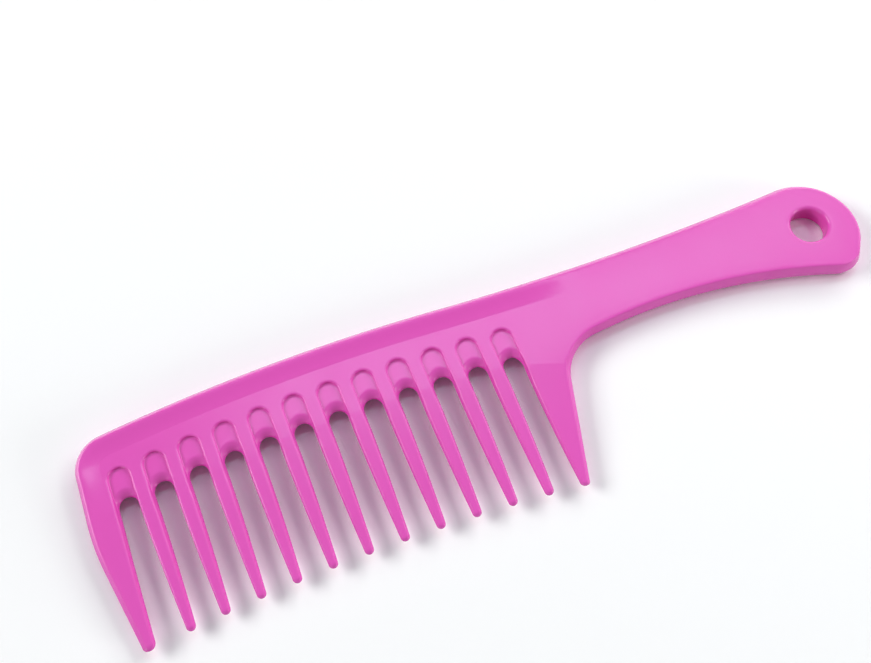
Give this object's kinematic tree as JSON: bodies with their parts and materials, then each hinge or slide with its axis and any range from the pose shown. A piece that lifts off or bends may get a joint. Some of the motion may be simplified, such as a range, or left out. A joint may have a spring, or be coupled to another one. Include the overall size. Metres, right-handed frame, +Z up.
{
  "type": "comb",
  "caption": "Wide-tooth detangling comb in one-piece moulded plastic, with a thick rimmed back, arched channels above its gaps and a waisted handle that ends in a hanging eye.",
  "frame": {"origin": "middle of the box that the comb fills, on the surface that it lies flat on", "axes": "+X along the back towards the handle end, teeth towards -Y, +Z up through the thickness"},
  "size_m": [0.242, 0.0664, 0.007],
  "materials": {
    "comb_plastic": "soft gloss pink, moulded in its own colour"
  },
  "bodies": {
    "root": {"spine": "comb_plastic", "head_plate": "comb_plastic", "handle": "comb_plastic", "hang_eye": "comb_plastic", "front_guard_tooth": "comb_plastic", "rear_guard_tooth": "comb_plastic", "tooth_02": "comb_plastic", "tooth_03": "comb_plastic", "tooth_04": "comb_plastic", "tooth_05": "comb_plastic", "tooth_06": "comb_plastic", "tooth_07": "comb_plastic", "tooth_08": "comb_plastic", "tooth_09": "comb_plastic", "tooth_10": "comb_plastic", "tooth_11": "comb_plastic", "tooth_12": "comb_plastic"}
  },
  "joints": []
}
